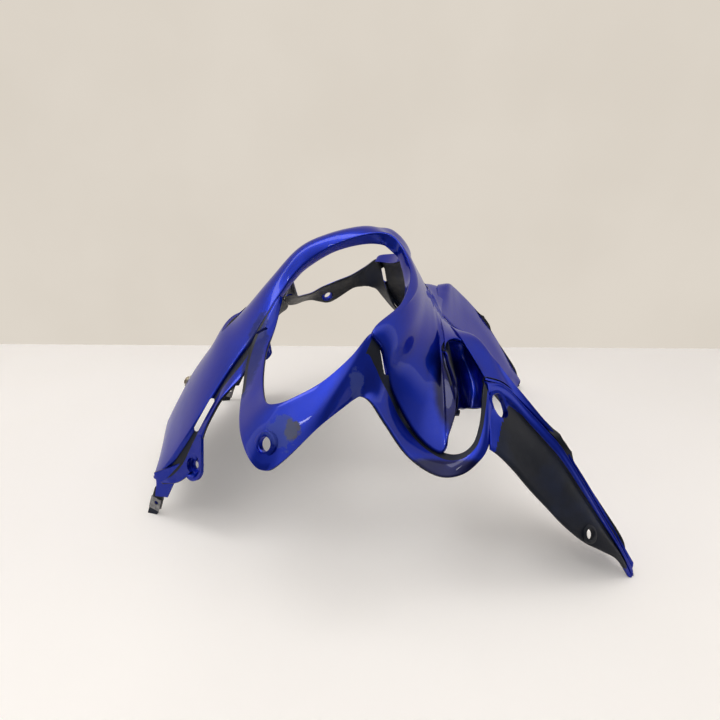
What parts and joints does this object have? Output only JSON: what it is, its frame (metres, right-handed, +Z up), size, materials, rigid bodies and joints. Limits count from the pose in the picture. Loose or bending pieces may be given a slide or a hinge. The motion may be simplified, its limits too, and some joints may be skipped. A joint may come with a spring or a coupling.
{
  "type": "motorcycle fairing",
  "caption": "Painted nose cowl that wraps the headlamps of a sports motorcycle, with lamp openings, air scoops, lugs and ears for its fixings.",
  "frame": {"origin": "centre of the part's outline on the floor it stands on", "axes": "+Z up from the floor, +Y across the part to the rider's right, -X towards the chin, which faces forwards"},
  "size_m": [0.422, 0.4396, 0.241],
  "materials": {
    "painted_plastic": "metallic blue paint under clear coat, black and unpainted inside",
    "screw_steel": "dull yellow-grey plating",
    "washer_steel": "dull grey plating",
    "clip_steel": "dark phosphated spring steel"
  },
  "bodies": {
    "root": {"cowl": "painted_plastic", "chin_screw": "screw_steel", "chin_washer": "washer_steel", "tab_clips": "clip_steel"}
  },
  "joints": []
}
